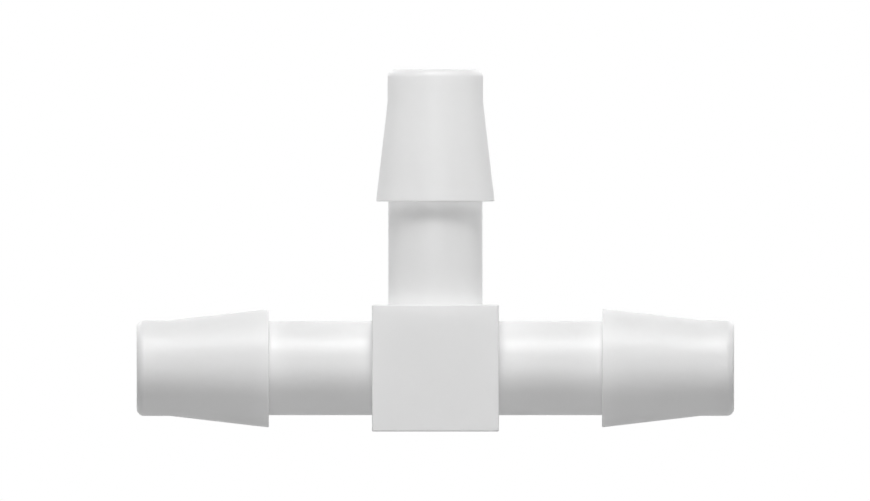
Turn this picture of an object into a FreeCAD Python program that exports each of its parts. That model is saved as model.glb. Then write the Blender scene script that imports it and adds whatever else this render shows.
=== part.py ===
"""A moulded hose tee: three equal arms, each with one sharp barb, on a cube-shaped block.

Frame: millimetres, +X along the run, +Z up along the branch, the front faces -Y.
The origin is where the axes of the two bores cross, in the middle of the block.
"""

import FreeCAD
import Part
import Sketcher

import math
import os

NODE = "tee_body"
DIMENSIONS = (
    ("bore_diameter", "4.3", "flow bore, the same in the run and the branch"),
    ("neck_wall", "1.0", "wall round the bore at the neck, where the tube grips"),
    ("block_wall", "2.1", "wall round the bore at the flats of the block"),
    ("nose_step", "0.05", "how far the nose stands proud of the neck, on the radius"),
    ("barb_height", "0.825", "how far the sharp edge stands proud of the neck, on the radius"),
    ("neck_length", "6.9", "from the face of the block to the shoulder of the barb"),
    ("taper_length", "6.65", "from the sharp edge of the barb to the straight nose"),
    ("nose_length", "2.2", "straight nose that starts the tube"),
    ("nose_radius", "0.5", "rounding of the outer rim of the nose"),
    ("block_edge_radius", "0.1", "rounding of the twelve edges of the block"),
    ("mouth_bevel", "0.15", "bevel where the bore opens in the end face"),
    ("barb_edge_bevel", "0.06", "bevel that is left on the sharp edge of the barb"),
)

# Sizes that several features share, each written once in terms of the cells above.
BORE_RADIUS = "(Dimensions.bore_diameter / 2)"
NECK_RADIUS = f"({BORE_RADIUS} + Dimensions.neck_wall)"
NOSE_RADIUS = f"({NECK_RADIUS} + Dimensions.nose_step)"
BARB_RADIUS = f"({NECK_RADIUS} + Dimensions.barb_height)"
BLOCK_SIDE = "(Dimensions.bore_diameter + 2 * Dimensions.block_wall)"
SHOULDER_REACH = f"({BLOCK_SIDE} / 2 + Dimensions.neck_length)"
ARM_REACH = f"({SHOULDER_REACH} + Dimensions.taper_length + Dimensions.nose_length)"
END_WALL = "(Dimensions.neck_wall + Dimensions.nose_step)"

# Each rounding or bevel is as its cell says, or the largest that its own wall leaves room for.
BLOCK_ROUNDING = "min(Dimensions.block_edge_radius; 0.45 * Dimensions.block_wall)"
NOSE_ROUNDING = f"min(Dimensions.nose_radius; 0.6 * {END_WALL}; 0.9 * Dimensions.nose_length)"
MOUTH_BEVEL = f"min(Dimensions.mouth_bevel; 0.3 * {END_WALL})"
BARB_BEVEL = "min(Dimensions.barb_edge_bevel; 0.3 * Dimensions.barb_height)"

# The arms of a tee leave the block at right angles, spread over half a turn.
ARM_COUNT = 3
ARM_SPREAD = 180
BLOCK_EDGE_COUNT = 12

# Two sizes closer than this, in millimetres, are the same when an edge is looked up.
SAME_SIZE = 1e-4
# A cut may differ from its worked-out volume by this share.
SAME_VOLUME = 1e-3


def make_sheet(doc):
    """The driving dimensions, one named cell each."""
    sheet = doc.addObject("Spreadsheet::Sheet", "Dimensions")
    for row, (alias, value, meaning) in enumerate(DIMENSIONS, start=1):
        sheet.set(f"A{row}", alias)
        sheet.set(f"B{row}", value)
        sheet.set(f"C{row}", meaning)
        sheet.setAlias(f"B{row}", alias)
    doc.recompute()


def size(body, expression):
    """What an expression of the sheet's cells comes to, as a plain number."""
    result = body.evalExpression(expression)
    return float(getattr(result, "Value", result))


def origin_feature(body, role):
    """The body's own origin plane or axis of that role."""
    return next(f for f in body.Origin.OriginFeatures if f.Role == role)


def new_sketch(body, name, plane, turn=0):
    """An empty sketch on one of the body's origin planes, turned in that plane by some degrees."""
    sketch = body.newObject("Sketcher::SketchObject", name)
    sketch.AttachmentSupport = [(origin_feature(body, plane), "")]
    sketch.MapMode = "FlatFace"
    turned = FreeCAD.Rotation(FreeCAD.Vector(0, 0, 1), turn)
    sketch.AttachmentOffset = FreeCAD.Placement(FreeCAD.Vector(), turned)
    return sketch


def draw_outline(sketch, corners):
    """Straight lines from corner to corner, closed, with their ends tied together."""
    for start, end in zip(corners, corners[1:] + corners[:1]):
        sketch.addGeometry(Part.LineSegment(FreeCAD.Vector(*start), FreeCAD.Vector(*end)))
    count = len(corners)
    for line in range(count):
        sketch.addConstraint(Sketcher.Constraint("Coincident", line, 2, (line + 1) % count, 1))


def set_directions(sketch, directions):
    """Makes the named lines horizontal or vertical."""
    for line, direction in directions.items():
        sketch.addConstraint(Sketcher.Constraint(direction, line))


def dimension(sketch, name, kind, line, expression):
    """A dimension between the two ends of a line, tied to the sheet."""
    start = sketch.Geometry[line].StartPoint
    end = sketch.Geometry[line].EndPoint
    drawn = end.x - start.x if kind == "DistanceX" else end.y - start.y
    # a line drawn backwards is measured from its end, so that the distance stays positive
    first, second = (1, 2) if drawn > 0 else (2, 1)
    index = sketch.addConstraint(Sketcher.Constraint(kind, line, first, line, second, abs(drawn)))
    sketch.renameConstraint(index, name)
    sketch.setExpression(f"Constraints.{name}", expression)


def make_block(body):
    """The block: a square pad about the origin, as deep as it is wide."""
    sketch = new_sketch(body, "BlockSection", "XY_Plane")
    half = size(body, BLOCK_SIDE) / 2
    draw_outline(sketch, [(-half, -half), (half, -half), (half, half), (-half, half)])
    set_directions(sketch, {0: "Horizontal", 1: "Vertical", 2: "Horizontal", 3: "Vertical"})
    # opposite corners mirror each other through the origin, so the block is centred on it
    sketch.addConstraint(Sketcher.Constraint("Symmetric", 0, 1, 1, 2, -1, 1))
    dimension(sketch, "width", "DistanceX", 0, BLOCK_SIDE)
    dimension(sketch, "depth", "DistanceY", 1, BLOCK_SIDE)
    block = body.newObject("PartDesign::Pad", "Block")
    block.Profile = sketch
    block.SideType = "Symmetric"
    block.setExpression("Length", BLOCK_SIDE)
    body.Document.recompute()
    return block


def make_arm(body):
    """One arm along +X: half its outline, from the bore's axis, turned about that axis."""
    sketch = new_sketch(body, "ArmProfile", "XZ_Plane")
    neck = size(body, NECK_RADIUS)
    nose = size(body, NOSE_RADIUS)
    barb = size(body, BARB_RADIUS)
    shoulder = size(body, SHOULDER_REACH)
    tip = size(body, ARM_REACH)
    taper_end = shoulder + size(body, "Dimensions.taper_length")
    root_edge, neck_line, shoulder_line, taper_line, nose_line, end_line, axis_line = range(7)
    draw_outline(
        sketch,
        [
            (0, 0),
            (0, neck),
            (shoulder, neck),
            (shoulder, barb),
            (taper_end, nose),
            (tip, nose),
            (tip, 0),
        ],
    )
    sketch.addConstraint(Sketcher.Constraint("Coincident", root_edge, 1, -1, 1))
    set_directions(
        sketch,
        {
            root_edge: "Vertical",
            neck_line: "Horizontal",
            shoulder_line: "Vertical",
            nose_line: "Horizontal",
            end_line: "Vertical",
            axis_line: "Horizontal",
        },
    )
    dimension(sketch, "neck_radius", "DistanceY", root_edge, NECK_RADIUS)
    dimension(sketch, "shoulder_reach", "DistanceX", neck_line, SHOULDER_REACH)
    dimension(sketch, "barb_height", "DistanceY", shoulder_line, "Dimensions.barb_height")
    dimension(sketch, "taper_length", "DistanceX", taper_line, "Dimensions.taper_length")
    dimension(sketch, "nose_length", "DistanceX", nose_line, "Dimensions.nose_length")
    dimension(sketch, "nose_radius", "DistanceY", end_line, NOSE_RADIUS)
    arm = body.newObject("PartDesign::Revolution", "Arm")
    arm.Profile = sketch
    arm.ReferenceAxis = (sketch, ["H_Axis"])
    arm.Angle = 360
    body.Document.recompute()
    return arm


def repeat_arm(body, arm):
    """The other two arms: the same feature turned about Y, up to +Z and over to -X."""
    arms = body.newObject("PartDesign::PolarPattern", "Arms")
    arms.Originals = [arm]
    arms.Axis = (origin_feature(body, "Y_Axis"), [""])
    arms.Reversed = True
    arms.Angle = ARM_SPREAD
    arms.Occurrences = ARM_COUNT
    body.Tip = arms
    body.Document.recompute()


def make_bore(body, name, plane, turn, onward, expected):
    """A round bore from the middle of the block out through the end of one arm."""
    before = body.Shape.Volume
    sketch = new_sketch(body, f"{name}Section", plane, turn)
    radius = size(body, BORE_RADIUS)
    circle = Part.Circle(FreeCAD.Vector(), FreeCAD.Vector(0, 0, 1), radius)
    sketch.addGeometry(circle)
    sketch.addConstraint(Sketcher.Constraint("Coincident", 0, 3, -1, 1))
    index = sketch.addConstraint(Sketcher.Constraint("Diameter", 0, 2 * radius))
    sketch.renameConstraint(index, "bore")
    sketch.setExpression("Constraints.bore", "Dimensions.bore_diameter")
    bore = body.newObject("PartDesign::Pocket", name)
    bore.Profile = sketch
    bore.Type = "ThroughAll"
    # a pocket cuts against its sketch's normal, unless it is reversed
    bore.Reversed = onward
    # the two halves of the run's wall stay two faces, so that each can be measured half-way along,
    # where it is whole; one face's middle would lie where the branch opens it
    bore.Refine = False
    body.Document.recompute()
    removed = before - bore.Shape.Volume
    if abs(removed - expected) > SAME_VOLUME * expected:
        raise RuntimeError(f"{name} removed {removed:.3f} mm3 and not {expected:.3f} mm3")
    return bore


def rims(feature, radius, reach):
    """Names of the circular edges of that radius, centred that far out along an arm."""
    names = []
    for number, edge in enumerate(feature.Shape.Edges, start=1):
        # the round corners of the block end in points, which are edges with no curve
        if edge.Degenerated or not isinstance(edge.Curve, Part.Circle):
            continue
        circle = edge.Curve
        if abs(circle.Radius - radius) < SAME_SIZE and abs(circle.Center.Length - reach) < SAME_SIZE:
            names.append(f"Edge{number}")
    return names


def dress_edges(body, kind, name, base, edges, amount, expected):
    """A fillet or a chamfer over named edges of the feature before it."""
    if len(edges) != expected:
        raise RuntimeError(f"{name} found {len(edges)} edges and not {expected}")
    dressing = body.newObject(f"PartDesign::{kind}", name)
    dressing.Base = (base, edges)
    dressing.setExpression("Radius" if kind == "Fillet" else "Size", amount)
    # the two halves of the run's wall are not merged here either
    dressing.Refine = False
    body.Document.recompute()
    return dressing


def make_tee(doc):
    """The whole tee, in the order that its forms are cut and joined."""
    body = doc.addObject("PartDesign::Body", NODE)
    bore_radius = size(body, BORE_RADIUS)
    nose_radius = size(body, NOSE_RADIUS)
    barb_radius = size(body, BARB_RADIUS)
    shoulder_reach = size(body, SHOULDER_REACH)
    arm_reach = size(body, ARM_REACH)

    block = make_block(body)
    block_edges = [f"Edge{number}" for number in range(1, len(block.Shape.Edges) + 1)]
    dress_edges(body, "Fillet", "BlockEdges", block, block_edges, BLOCK_ROUNDING, BLOCK_EDGE_COUNT)
    arm = make_arm(body)
    repeat_arm(body, arm)

    # the volume of one bore along one arm, and the part of it that the run has cut already:
    # half of what two equal crossing bores share
    bore_volume = math.pi * bore_radius**2 * arm_reach
    shared = 8 / 3 * bore_radius**3
    # the run is bored from the middle to each side, as the two core pins of a mould meet there;
    # the seam of a round face starts at its sketch's x axis, here the bottom of the run, because
    # it has to stay clear of the two points at the sides where the branch's rim comes to a corner
    make_bore(body, "LeftBore", "YZ_Plane", -90, False, bore_volume)
    make_bore(body, "RightBore", "YZ_Plane", -90, True, bore_volume)
    last = make_bore(body, "BranchBore", "XY_Plane", 0, True, bore_volume - shared)

    for kind, name, radius, reach, amount in (
        ("Fillet", "NoseRims", nose_radius, arm_reach, NOSE_ROUNDING),
        ("Chamfer", "BoreMouths", bore_radius, arm_reach, MOUTH_BEVEL),
        ("Chamfer", "BarbEdges", barb_radius, shoulder_reach, BARB_BEVEL),
    ):
        edges = rims(last, radius, reach)
        last = dress_edges(body, kind, name, last, edges, amount, ARM_COUNT)
    body.Tip = last
    doc.recompute()
    return body


def check(doc, bodies):
    """Stops if any object failed, or a body is not one sound solid."""
    for item in doc.Objects:
        if "Invalid" in item.State or "Error" in item.State:
            raise RuntimeError(f"{item.Label} failed: {item.State}")
    for body in bodies:
        shape = body.Shape
        if shape.isNull() or not shape.isValid() or len(shape.Solids) != 1:
            raise RuntimeError(f"{body.Label} is not one sound solid")


doc = FreeCAD.newDocument("HoseTee")
make_sheet(doc)
tee = make_tee(doc)
check(doc, [tee])
os.makedirs("parts", exist_ok=True)
tee.Shape.exportStep(f"parts/{tee.Label}.step")
box = tee.Shape.optimalBoundingBox(False, False)
print(f"{tee.Label}: {box.XLength:.3f} x {box.YLength:.3f} x {box.ZLength:.3f} mm")
print(f"volume {tee.Shape.Volume:.2f} mm3")
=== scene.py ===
"""The looks of the hose tee: one moulded piece of satin white plastic on a pale floor.

Everything is in metres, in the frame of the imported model: +X along the run, +Z up along the branch,
and the front, which the photograph shows, faces -Y.
"""

import math

import bpy
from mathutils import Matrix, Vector


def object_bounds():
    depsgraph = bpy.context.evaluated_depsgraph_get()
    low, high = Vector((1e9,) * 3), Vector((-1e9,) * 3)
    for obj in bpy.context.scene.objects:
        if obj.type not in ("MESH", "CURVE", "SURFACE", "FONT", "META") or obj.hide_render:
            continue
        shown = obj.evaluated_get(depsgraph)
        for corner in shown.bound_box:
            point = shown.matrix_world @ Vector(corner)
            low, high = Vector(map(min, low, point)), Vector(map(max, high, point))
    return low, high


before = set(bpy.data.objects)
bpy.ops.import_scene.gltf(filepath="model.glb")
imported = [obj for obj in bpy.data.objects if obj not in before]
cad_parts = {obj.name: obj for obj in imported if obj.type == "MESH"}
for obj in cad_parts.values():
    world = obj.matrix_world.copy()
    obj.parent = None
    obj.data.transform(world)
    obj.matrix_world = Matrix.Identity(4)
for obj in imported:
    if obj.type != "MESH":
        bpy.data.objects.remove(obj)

NODE = "tee_body"
MM = 0.001
cad_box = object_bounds()

# How far the model reaches from its origin: the arms to their tips, and the block, which is the widest
# thing from front to back, to each of its sides.
ARM_REACH = cad_box[1].x
BLOCK_REACH = cad_box[1].y

# The barb of each arm, as it is in the model: a taper from the shoulder's sharp edge to a straight nose.
EDGE_RADIUS = 3.975 * MM
TAPER_LENGTH = 6.65 * MM
NOSE_RADIUS = 3.2 * MM
NOSE_LENGTH = 2.2 * MM
TAPER_SLOPE = (EDGE_RADIUS - NOSE_RADIUS) / TAPER_LENGTH
CREASE_REACH = ARM_REACH - NOSE_LENGTH
SHOULDER_REACH = CREASE_REACH - TAPER_LENGTH

# The photograph's frame in pixels: its size, the column of the tee's middle, the row of the run's axis, and
# the tee's length from tip to tip.
PHOTO_WIDTH = 870
PHOTO_HEIGHT = 501
MIDDLE_COLUMN = 435.4
RUN_ROW = 368.1
LENGTH_IN_PIXELS = 597.5
CAMERA_DISTANCE = 200 * MM
CLIP_START = 1 * MM

# The plastic: its colour and its roughness each vary between two values.
BASE_DARK = (0.86, 0.86, 0.86, 1)
BASE_LIGHT = (0.88, 0.88, 0.88, 1)
ROUGHNESS_FROM = 0.38
ROUGHNESS_TO = 0.48
REFRACTIVE_INDEX = 1.5

# What they vary with: broad clouds, with which the surface also sinks a little, and the mould's fine grain.
CLOUD_SIZE = 4.5 * MM
CLOUD_DETAIL = 3.0
SINK_HEIGHT = 0.01 * MM
GRAIN_SIZE = 0.16 * MM
GRAIN_DETAIL = 2.0
GRAIN_HEIGHT = 0.0015 * MM

# A share of the light is spread below the surface, all its colours equally far. The share falls on a neck
# near the face that it meets, from just clear of that face up to the corner's depth. On the face itself it
# stays whole.
SCATTER_SHARE = 0.4
SCATTER_SHARE_IN_CORNERS = 0.05
SCATTER_DEPTH = 1.8 * MM
COLOURS_ALIKE = (1.0, 1.0, 1.0)
CORNER_DEPTH = 1.5 * MM
JUST_CLEAR = 0.02 * MM
# At the block it falls in front only: fully at the first of these places along Y, and no more at the second.
FRONT_OF_NECK = (-3 * MM, -2 * MM)

# The parting line, a fine ridge. It keeps the cored radius off the bores' axes, which leaves their walls and
# the bevels at their mouths clear, and stops short of the rounded rims of the noses.
LINE_HALF_WIDTH = 0.05 * MM
LINE_HEIGHT = 0.012 * MM
CORED_RADIUS = 2.6 * MM
RIM_LEFT_CLEAR = 0.6 * MM
LINE_REACH = ARM_REACH - RIM_LEFT_CLEAR

# How far the crease between taper and nose is softened to each side. The photograph shows it in the outline
# only.
CREASE_SOFTENED = 1.2 * MM

WHITE = (1, 1, 1, 1)

# The floor as it is seen: pale, with the tee's shadow on it. It also glows, and more so away from the tee,
# where the lamps' light on it falls off.
FLOOR_SIZE = 1.2
SEEN_COLOUR = (0.75, 0.75, 0.75, 1)
SEEN_GLOW_NEAR = 0.58
SEEN_GLOW_FAR = 1.0
SEEN_GLOW_RISES = (50 * MM, 250 * MM)
# The light that it throws on the tee is kept apart from that. It throws back little of the lamps' light. Its
# own glow comes from a strip as wide as the run is long, which passes under the tee from front to back, and
# from all that lies well out to both sides.
THROWN_COLOUR = (0.1, 0.1, 0.1, 1)
GLOW_UNDER = 0.31
GLOW_UNDER_FALLS = (ARM_REACH, ARM_REACH + 4 * MM)
GLOW_BESIDE = 1.05
GLOW_BESIDE_RISES = (40 * MM, 50 * MM)

# The lamps: name, azimuth and elevation in degrees, distance, width and height, and level. Azimuth 0 is
# the front and 90 the +X side. The level is how bright the lamp alone makes a white face turned to it.
LAMPS = [
    ("key", 0, 62, 400 * MM, 160 * MM, 100 * MM, 0.49),
    ("key_wide", 0, 54, 400 * MM, 465 * MM, 100 * MM, 0.285),
    ("front_low", 0, 5, 300 * MM, 150 * MM, 45 * MM, 0.158),
    ("side_left", -90, 10, 300 * MM, 165 * MM, 120 * MM, 0.09),
    ("side_right", 90, 10, 300 * MM, 165 * MM, 120 * MM, 0.09),
    ("back_left", -145, 25, 300 * MM, 220 * MM, 160 * MM, 0.17),
    ("back_right", 145, 25, 300 * MM, 220 * MM, 160 * MM, 0.17),
    ("back", 180, 25, 300 * MM, 300 * MM, 130 * MM, 0.05),
]
# The point that they all face, a little above the place where the arms' axes meet.
LAMP_AIM = Vector((0, 0, 4 * MM))


def add_node(tree, kind, **inputs):
    """A shader node, with some of its sockets set by name."""
    node = tree.nodes.new(kind)
    for name, value in inputs.items():
        node.inputs[name.replace("_", " ")].default_value = value
    return node


def work_out(tree, operation, *values):
    """A Math node's result; each value is a number or another node's output."""
    node = tree.nodes.new("ShaderNodeMath")
    node.operation = operation
    for socket, value in zip(node.inputs, values):
        if isinstance(value, (int, float)):
            socket.default_value = value
        else:
            tree.links.new(value, socket)
    return node.outputs["Value"]


def change_over(tree, value, span, before, after):
    """Goes from one number to another while the value goes through the span."""
    node = add_node(
        tree, "ShaderNodeMapRange",
        From_Min=span[0], From_Max=span[1], To_Min=before, To_Max=after,
    )
    tree.links.new(value, node.inputs["Value"])
    return node.outputs["Result"]


def part_way(tree, share, start, end):
    """The number that lies that share of the way, from 0 to 1, between two others."""
    return change_over(tree, share, (0.0, 1.0), start, end)


def mean_of(tree, first, second):
    """The mean of two values."""
    return work_out(tree, "MULTIPLY", work_out(tree, "ADD", first, second), 0.5)


def find_place(tree):
    """Where a point of the surface is: the place itself, and then its X, Y and Z."""
    place = tree.nodes.new("ShaderNodeTexCoord").outputs["Object"]
    split = tree.nodes.new("ShaderNodeSeparateXYZ")
    tree.links.new(place, split.inputs["Vector"])
    x, y, z = split.outputs
    return place, x, y, z


def noise(tree, place, size, detail):
    """Noise whose features are about that large."""
    node = add_node(tree, "ShaderNodeTexNoise", Scale=1 / size, Detail=detail)
    tree.links.new(place, node.inputs["Vector"])
    return node.outputs["Fac"]


def seen_rays(tree):
    """1 for rays from the camera, or from a gloss or a clear body that shows what is behind, else 0."""
    path = tree.nodes.new("ShaderNodeLightPath")
    seen = work_out(tree, "MAXIMUM", path.outputs["Is Camera Ray"], path.outputs["Is Glossy Ray"])
    return work_out(tree, "MAXIMUM", seen, path.outputs["Is Transmission Ray"])


def out_along_arm(tree, x, z):
    """How far out along the nearest arm a place is."""
    return work_out(tree, "MAXIMUM", work_out(tree, "ABSOLUTE", x), z)


def in_corner(tree, distance):
    """1 close to a face, falling to 0 at the corner's depth, and 0 on the face itself and behind it."""
    in_front = work_out(tree, "GREATER_THAN", distance, JUST_CLEAR)
    close = change_over(tree, distance, (0.0, CORNER_DEPTH), 1.0, 0.0)
    return work_out(tree, "MULTIPLY", in_front, close)


def scatter_share(tree, x, y, along):
    """The share of the light that is spread below the surface.

    That light would glow too brightly in the corners that the necks make with the run's shoulders, all
    round, and with the block, in front, so the share falls there.
    """
    off_block = work_out(tree, "SUBTRACT", along, BLOCK_REACH)
    off_shoulder = work_out(tree, "SUBTRACT", SHOULDER_REACH, work_out(tree, "ABSOLUTE", x))
    front = change_over(tree, y, FRONT_OF_NECK, 1.0, 0.0)
    at_block = work_out(tree, "MULTIPLY", in_corner(tree, off_block), front)
    corner = work_out(tree, "MAXIMUM", at_block, in_corner(tree, off_shoulder))
    return part_way(tree, corner, SCATTER_SHARE, SCATTER_SHARE_IN_CORNERS)


def plastic_colour(tree, cloud):
    """White, a little darker in some places than in others."""
    tint = tree.nodes.new("ShaderNodeMix")
    tint.data_type = "RGBA"
    tint.inputs["A"].default_value = BASE_DARK
    tint.inputs["B"].default_value = BASE_LIGHT
    tree.links.new(cloud, tint.inputs["Factor"])
    return tint.outputs["Result"]


def parting_line(tree, x, y, z, along):
    """A ridge, 1 high, where the halves of the mould met: all round the outside, at y = 0."""
    beside = work_out(tree, "ABSOLUTE", y)
    ridge = work_out(tree, "SUBTRACT", 1.0, work_out(tree, "DIVIDE", beside, LINE_HALF_WIDTH))
    ridge = work_out(tree, "MAXIMUM", ridge, 0.0)
    # the bores were cored by pins, so the line keeps off their walls and off the three end faces
    off_run = work_out(tree, "GREATER_THAN", work_out(tree, "ABSOLUTE", z), CORED_RADIUS)
    off_branch = work_out(tree, "GREATER_THAN", work_out(tree, "ABSOLUTE", x), CORED_RADIUS)
    # no branch goes down, so nothing below the run's bore is left out
    below = work_out(tree, "LESS_THAN", z, 0.0)
    outside = work_out(tree, "MINIMUM", off_run, work_out(tree, "MAXIMUM", off_branch, below))
    short_of_tips = work_out(tree, "LESS_THAN", along, LINE_REACH)
    return work_out(tree, "MULTIPLY", ridge, work_out(tree, "MULTIPLY", outside, short_of_tips))


def softened_crease(tree, along):
    """The height of a slight ridge that undoes the crease between taper and nose.

    It is a parabola to each side. Where the two meet, each has half the taper's slope, so that together
    they turn as much as the crease does, the other way. It lies on the walls of the bores too.
    """
    away = work_out(tree, "ABSOLUTE", work_out(tree, "SUBTRACT", along, CREASE_REACH))
    near = work_out(tree, "MAXIMUM", work_out(tree, "SUBTRACT", CREASE_SOFTENED, away), 0.0)
    bend = TAPER_SLOPE / (4 * CREASE_SOFTENED)
    return work_out(tree, "MULTIPLY", work_out(tree, "POWER", near, 2.0), bend)


def surface_normal(tree, height):
    """The direction of a surface that stands out by this height, in metres."""
    bump = add_node(tree, "ShaderNodeBump", Strength=1.0, Distance=1.0)
    tree.links.new(height, bump.inputs["Height"])
    return bump.outputs["Normal"]


def make_plastic():
    """Satin white plastic that lets a little light through, with the traces of its moulding."""
    material = bpy.data.materials.new("moulded_plastic")
    material.use_nodes = True
    tree = material.node_tree
    place, x, y, z = find_place(tree)
    along = out_along_arm(tree, x, z)
    cloud = noise(tree, place, CLOUD_SIZE, CLOUD_DETAIL)
    grain = noise(tree, place, GRAIN_SIZE, GRAIN_DETAIL)
    roughness = part_way(tree, mean_of(tree, cloud, grain), ROUGHNESS_FROM, ROUGHNESS_TO)

    sink = work_out(tree, "MULTIPLY", cloud, SINK_HEIGHT)
    fine = work_out(tree, "MULTIPLY", grain, GRAIN_HEIGHT)
    line = work_out(tree, "MULTIPLY", parting_line(tree, x, y, z, along), LINE_HEIGHT)
    height = work_out(tree, "ADD", work_out(tree, "ADD", sink, fine), line)
    height = work_out(tree, "ADD", height, softened_crease(tree, along))

    shader = tree.nodes["Principled BSDF"]
    shader.subsurface_method = "BURLEY"
    shader.inputs["IOR"].default_value = REFRACTIVE_INDEX
    shader.inputs["Subsurface Radius"].default_value = COLOURS_ALIKE
    shader.inputs["Subsurface Scale"].default_value = SCATTER_DEPTH
    tree.links.new(scatter_share(tree, x, y, along), shader.inputs["Subsurface Weight"])
    tree.links.new(plastic_colour(tree, cloud), shader.inputs["Base Color"])
    tree.links.new(roughness, shader.inputs["Roughness"])
    tree.links.new(surface_normal(tree, height), shader.inputs["Normal"])
    return material


def lit_sheet(tree, colour, glow):
    """A matt sheet that glows as well."""
    light = add_node(tree, "ShaderNodeEmission", Color=WHITE)
    tree.links.new(glow, light.inputs["Strength"])
    matt = add_node(tree, "ShaderNodeBsdfDiffuse", Color=colour)
    both = tree.nodes.new("ShaderNodeAddShader")
    tree.links.new(matt.outputs["BSDF"], both.inputs[0])
    tree.links.new(light.outputs["Emission"], both.inputs[1])
    return both.outputs["Shader"]


def make_floor_material():
    """One sheet for the rays that are seen, and another for the light that is thrown on the tee."""
    material = bpy.data.materials.new("pale_floor")
    material.use_nodes = True
    tree = material.node_tree
    tree.nodes.remove(tree.nodes["Principled BSDF"])
    place, x, *_ = find_place(tree)

    aside = work_out(tree, "ABSOLUTE", x)
    under = change_over(tree, aside, GLOW_UNDER_FALLS, GLOW_UNDER, 0.0)
    beside = change_over(tree, aside, GLOW_BESIDE_RISES, 0.0, GLOW_BESIDE)
    thrown = lit_sheet(tree, THROWN_COLOUR, work_out(tree, "ADD", under, beside))

    distance = tree.nodes.new("ShaderNodeVectorMath")
    distance.operation = "LENGTH"
    tree.links.new(place, distance.inputs[0])
    glow = change_over(tree, distance.outputs["Value"], SEEN_GLOW_RISES, SEEN_GLOW_NEAR, SEEN_GLOW_FAR)
    seen = lit_sheet(tree, SEEN_COLOUR, glow)

    choice = tree.nodes.new("ShaderNodeMixShader")
    tree.links.new(seen_rays(tree), choice.inputs["Fac"])
    tree.links.new(thrown, choice.inputs[1])
    tree.links.new(seen, choice.inputs[2])
    tree.links.new(choice.outputs["Shader"], tree.nodes["Material Output"].inputs["Surface"])
    return material


def add_object(name, data):
    """An object that shows the data, in the scene."""
    added = bpy.data.objects.new(name, data)
    bpy.context.scene.collection.objects.link(added)
    return added


def make_floor(level):
    """A pale floor, wide enough for every view, that the block stands on."""
    half = FLOOR_SIZE / 2
    corners = [(-half, -half, level), (half, -half, level), (half, half, level), (-half, half, level)]
    mesh = bpy.data.meshes.new("floor")
    mesh.from_pydata(corners, [], [(0, 1, 2, 3)])
    mesh.materials.append(make_floor_material())
    floor = add_object("floor", mesh)


def make_world():
    """A white background, which the camera, a gloss or a clear body shows and which lights nothing else."""
    world = bpy.data.worlds.new("studio")
    bpy.context.scene.world = world
    world.use_nodes = True
    tree = world.node_tree
    backdrop = tree.nodes["Background"]
    backdrop.inputs["Color"].default_value = WHITE
    tree.links.new(seen_rays(tree), backdrop.inputs["Strength"])


def make_lamp(name, azimuth, elevation, distance, width, height, level):
    """A soft box that faces the tee."""
    data = bpy.data.lights.new(name, "AREA")
    data.shape = "RECTANGLE"
    data.size = width
    data.size_y = height
    # an area light of so many watts makes a white face at this distance watts / (pi * distance) ** 2
    data.energy = level * (math.pi * distance) ** 2
    lamp = add_object(name, data)
    turn = math.radians(azimuth)
    rise = math.radians(elevation)
    towards = Vector((math.sin(turn) * math.cos(rise), -math.cos(turn) * math.cos(rise), math.sin(rise)))
    lamp.location = towards * distance + LAMP_AIM
    lamp.rotation_mode = "QUATERNION"
    lamp.rotation_quaternion = towards.to_track_quat("Z", "Y")


def make_camera():
    """The photograph's view: square to the front, with no perspective to be seen."""
    length = cad_box[1].x - cad_box[0].x
    pixel = length / LENGTH_IN_PIXELS
    data = bpy.data.cameras.new("camera")
    data.type = "ORTHO"
    data.ortho_scale = PHOTO_WIDTH * pixel
    data.clip_start = CLIP_START
    camera = add_object("camera", data)
    across = (PHOTO_WIDTH / 2 - MIDDLE_COLUMN) * pixel
    up = (RUN_ROW - PHOTO_HEIGHT / 2) * pixel
    camera.location = (across, -CAMERA_DISTANCE, up)
    camera.rotation_euler = (math.radians(90), 0, 0)
    bpy.context.scene.camera = camera


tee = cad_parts[NODE]
tee.material_slots[0].material = make_plastic()
make_floor(cad_box[0].z)
make_world()
for lamp in LAMPS:
    make_lamp(*lamp)
make_camera()

bpy.context.scene.view_settings.view_transform = "Standard"
